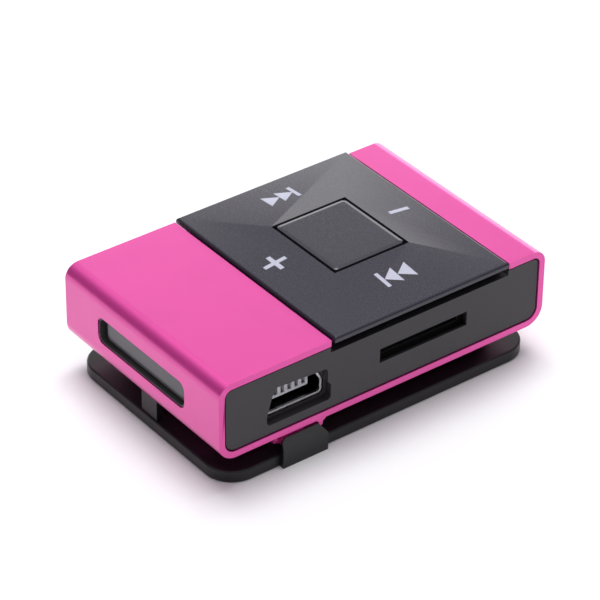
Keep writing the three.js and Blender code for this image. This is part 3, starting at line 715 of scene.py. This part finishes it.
def make_spring():
    """The clip's torsion spring, swept round along its wire, with its lower leg on the clip."""
    reach = HINGE_X - span("clip_spring")[0].x
    wire, radius, turns, per_turn = 0.2, 0.9, 6.5, 40
    half = 2.6
    steps = int(turns * per_turn)

    def coil(n):
        angle = math.pi / 2 - 2 * math.pi * n / per_turn
        return Vector((HINGE_X + radius * math.cos(angle), half * (2 * n / steps - 1),
                       HINGE_Z + radius * math.sin(angle)))

    upper = [Vector((HINGE_X - reach * (8 - t) / 8, -half, HINGE_Z + radius)) for t in range(8)]
    lower = [Vector((HINGE_X - reach * t / 8, half, HINGE_Z - radius)) for t in range(1, 9)]
    sweep("clip_torsion_spring", upper + [coil(n) for n in range(steps + 1)], wire, 10, "steel", "housing",
          "clip_spring")
    sweep("clip_spring_leg", [coil(n) for n in range(steps - 3, steps + 1)] + lower, wire - 0.01, 10, "steel",
          "clip")


def sweep(name, path, radius, sides, material, body, *nodes):
    """A round wire along a path, closed at both ends."""
    bm = bmesh.new()
    rings = []
    across = None
    for n, point in enumerate(path):
        ahead = (path[min(n + 1, len(path) - 1)] - path[max(n - 1, 0)]).normalized()
        if across is None:
            across = ahead.orthogonal().normalized()
        across = (across - ahead * across.dot(ahead)).normalized()
        third = ahead.cross(across)
        rings.append([
            bm.verts.new(point + radius * (math.cos(2 * math.pi * k / sides) * across
                                           + math.sin(2 * math.pi * k / sides) * third))
            for k in range(sides)
        ])
    for first, second in zip(rings, rings[1:]):
        for k in range(sides):
            m = (k + 1) % sides
            bm.faces.new((first[k], first[m], second[m], second[k]))
    bm.faces.new(rings[0])
    bm.faces.new(list(reversed(rings[-1])))
    wire = to_object(name, bm, material)
    for face in wire.data.polygons:
        face.use_smooth = len(face.vertices) == 4
    settle(wire, body, material, *nodes)


# ---- End window ----


def window_section(inset):
    return rounded(-8.3 + inset, 8.3 - inset, 7.45 + inset, 10.95 - inset, 1.0 - inset * 0.6)


def make_window():
    low, high = span("window_bezel")
    bezel = prism("window_frame", window_section(0.06), low.x, high.x, "YZX", "bezel")
    combine(bezel, prism("opening", window_section(0.22), *OPEN_SPAN, "YZX"))
    soften(bezel, 0.03)
    settle(bezel, "housing", "black_plastic", "window_bezel")
    low, high = span("window_pane")
    pane = prism("window_lens", rounded(low.y, high.y, low.z, high.z, 0.7), low.x, high.x, "YZX", "smoked")
    soften(pane, 0.1)
    settle(pane, "housing", "smoked", "window_pane")


# ---- Sockets and switch ----


def make_usb():
    low, high = span("usb_shell")
    shell = prism("usb_socket_shell", usb_section(0), low.y, high.y, "XZY", "shell")
    combine(shell, prism("inside", usb_section(0.3), low.y - 1, high.y - 0.4, "XZY"))
    soften(shell, 0.06)
    settle(shell, "housing", "steel", "usb_shell")
    tongue = copy_node("usb_tongue", "usb_socket_tongue", "grey_plastic")
    soften(tongue, 0.04, segments=2)
    settle(tongue, "housing", "grey_plastic", "usb_tongue")


def make_card_socket():
    for node, name, material in (("card_cover", "card_socket_cover", "steel"),
                                 ("card_base", "card_socket_base", "chip")):
        piece = copy_node(node, name, material)
        soften(piece, 0.04, segments=2)
        settle(piece, "housing", material, node)


def make_jack():
    low, high = span("headphone_jack")
    x, z, back = JACK_X, JACK_Z, low.y
    outline = filleted(rectangle(x - 3.0, x + 3.0, z - 2.4, z + 2.4), 0.3)
    jack = prism("jack_socket", outline, back, 13.1, "XZY", "chip")
    combine(jack, prism("barrel", circle(x, z, 2.5, 96), 12.9, high.y, "XZY"), "UNION")
    mouth = bmesh.new()
    for radius, y in ((2.15, high.y + 0.01), (1.8, high.y - 0.35)):
        for a, b in circle(x, z, radius, 96):
            mouth.verts.new((a, y, b))
    ring = list(mouth.verts)
    mouth.faces.new(ring[:96])
    mouth.faces.new(ring[96:])
    for n in range(96):
        m = (n + 1) % 96
        mouth.faces.new((ring[n], ring[m], ring[96 + m], ring[96 + n]))
    combine(jack, to_object("mouth", mouth, "chip"))
    combine(jack, prism("bore", circle(x, z, 1.8, 96), back + 0.8, 16, "XZY"))
    for y in (4.2, 7.4):
        combine(jack, block((x + 1, x + 4), (y - 0.7, y + 0.7), (z - 0.7, z + 0.7)))
    soften(jack, 0.07, angle=40)
    settle(jack, "housing", "chip", "headphone_jack")


def make_switch_knob():
    low, high = span("switch_knob")
    x, z = (low.x + high.x) / 2, SWITCH_Z
    knob = prism("power_switch_knob", filleted(rectangle(x - 1.3, x + 1.3, z - 0.65, z + 0.65), 0.15, 4),
                 11.9, high.y, "XZY", "key_plastic")
    combine(knob, block((low.x, high.x), (low.y, 12.0), (low.z, high.z)), "UNION")
    for n in (-1.5, -0.5, 0.5, 1.5):
        ridge = x + n * 0.56
        combine(knob, block((ridge - 0.12, ridge + 0.12), (high.y - 0.16, high.y + 1), (z - 2, z + 2)))
    soften(knob, 0.05, segments=2)
    settle(knob, "power_knob", "key_plastic", "switch_knob")


# ---- CAD nodes that keep their shape ----

KEPT = {
    "black_plastic": ["inner_tray", "rocker_cradle", "rocker_pivot_ring"],
    "circuit_board": ["key_board", "main_board", "battery_circuit"],
    "steel": ["dome_play", "dome_next", "dome_previous", "dome_louder", "dome_quieter", "crystal_can",
              "board_screw_1", "board_screw_2", "board_screw_3", "board_screw_4", "switch_housing"],
    "silicone": ["keypad_membrane"],
    "chip": ["controller_chip", "amplifier_chip", "board_link"],
    "ceramic": ["capacitor_1", "capacitor_2", "capacitor_3"],
    "contacts": ["usb_contact_1", "usb_contact_2", "usb_contact_3", "usb_contact_4", "usb_contact_5",
                 "card_contacts", "headphone_contact_sleeve", "headphone_contact_tip"],
    "foam": ["battery_pad"],
    "pouch": ["battery_cell"],
    "red_lead": ["battery_lead_red"],
    "black_lead": ["battery_lead_black"],
    "led": ["status_led"],
}


def finish_nodes():
    """Gives every CAD node its material, those that a piece stands for included."""
    replaced = {
        "sleeve": "pink_metal", "front_plate": "black_plastic", "rear_plate": "black_plastic",
        "rocker_plate": "key_plastic", "centre_button": "key_plastic", "switch_knob": "key_plastic",
        "clip_plate": "clip_plastic", "hinge_pin": "steel", "clip_spring": "steel", "usb_shell": "steel",
        "usb_tongue": "grey_plastic", "card_cover": "steel", "card_base": "chip", "headphone_jack": "chip",
        "window_bezel": "black_plastic", "window_pane": "smoked",
    }
    names = dict(replaced)
    names.update((node, slot) for slot, nodes in KEPT.items() for node in nodes)
    for node, made in NODES.items():
        made.data.materials.clear()
        made.data.materials.append(MATERIALS[names[node]])


# ---- Floor, lights and world ----


def make_floor():
    size = 1.6
    bm = bmesh.new()
    bm.faces.new([bm.verts.new((x, y, -0.00002)) for x, y in rectangle(-size, size, -size, size)])
    mesh = bpy.data.meshes.new("floor")
    bm.to_mesh(mesh)
    bm.free()
    mesh.materials.append(floor_material())
    floor = bpy.data.objects.new("floor", mesh)
    bpy.context.scene.collection.objects.link(floor)


def add_softbox(name, azimuth, elevation, distance, width, height, radiance):
    """A rectangular area light that faces the player."""
    towards = direction(azimuth, elevation)
    light = bpy.data.lights.new(name, "AREA")
    light.shape = "RECTANGLE"
    light.size, light.size_y = width, height
    light.energy = radiance * math.pi * width * height
    lamp = bpy.data.objects.new(name, light)
    lamp.location = CAMERA_AIM + distance * towards
    lamp.rotation_euler = towards.to_track_quat("Z", "Y").to_euler()
    bpy.context.scene.collection.objects.link(lamp)


def direction(azimuth, elevation):
    """A unit vector. Azimuth is in degrees from -Y towards +X, and elevation in degrees up."""
    turn, rise = math.radians(azimuth), math.radians(elevation)
    return Vector((math.sin(turn) * math.cos(rise), -math.cos(turn) * math.cos(rise), math.sin(rise)))


def make_world(color, horizon, zenith, low, high, flag):
    """A studio that brightens from the horizon's strength to the zenith's between two elevations.

    A dark flag hangs in it: (azimuth, elevation, inner angle, outer angle). Angles are in degrees.
    """
    world = bpy.data.worlds.new("studio")
    world.use_nodes = True
    tree = world.node_tree
    background = tree.nodes["Background"]
    background.inputs["Color"].default_value = (*color, 1.0)
    gaze = tree.nodes.new("ShaderNodeTexCoord")
    height = tree.nodes.new("ShaderNodeSeparateXYZ")
    rise = tree.nodes.new("ShaderNodeMapRange")
    rise.interpolation_type = "SMOOTHSTEP"
    rise.inputs["From Min"].default_value = math.sin(math.radians(low))
    rise.inputs["From Max"].default_value = math.sin(math.radians(high))
    rise.inputs["To Min"].default_value = horizon
    rise.inputs["To Max"].default_value = zenith
    tree.links.new(gaze.outputs["Generated"], height.inputs["Vector"])
    tree.links.new(height.outputs["Z"], rise.inputs["Value"])
    azimuth, elevation, inner, outer = flag
    nearness = tree.nodes.new("ShaderNodeVectorMath")
    nearness.operation = "DOT_PRODUCT"
    nearness.inputs[1].default_value = direction(azimuth, elevation)
    tree.links.new(gaze.outputs["Generated"], nearness.inputs[0])
    fade = tree.nodes.new("ShaderNodeMapRange")
    fade.interpolation_type = "SMOOTHSTEP"
    fade.inputs["From Min"].default_value = math.cos(math.radians(outer))
    fade.inputs["From Max"].default_value = math.cos(math.radians(inner))
    fade.inputs["To Min"].default_value = 1.0
    fade.inputs["To Max"].default_value = 0.3
    tree.links.new(nearness.outputs["Value"], fade.inputs["Value"])
    flagged = tree.nodes.new("ShaderNodeMath")
    flagged.operation = "MULTIPLY"
    tree.links.new(rise.outputs["Result"], flagged.inputs[0])
    tree.links.new(fade.outputs["Result"], flagged.inputs[1])
    tree.links.new(flagged.outputs["Value"], background.inputs["Strength"])
    bpy.context.scene.world = world


make_camera()
make_sleeve()
make_front_plate()
make_rear_plate()
make_rocker()
make_symbols()
make_button()
make_clip()
make_pin()
make_spring()
make_window()
make_usb()
make_card_socket()
make_jack()
make_switch_knob()
finish_nodes()
make_floor()
make_world(color=(0.98, 0.95, 1.0), horizon=0.12, zenith=0.85, low=25, high=60, flag=(-142, 24, 12, 30))
add_softbox("overhead_softbox", azimuth=150, elevation=80, distance=0.7, width=0.36, height=0.36,
            radiance=8.5)
add_softbox("back_softbox", azimuth=156, elevation=15, distance=0.9, width=1.15, height=0.46, radiance=2.35)
bpy.context.scene.view_settings.view_transform = "Standard"
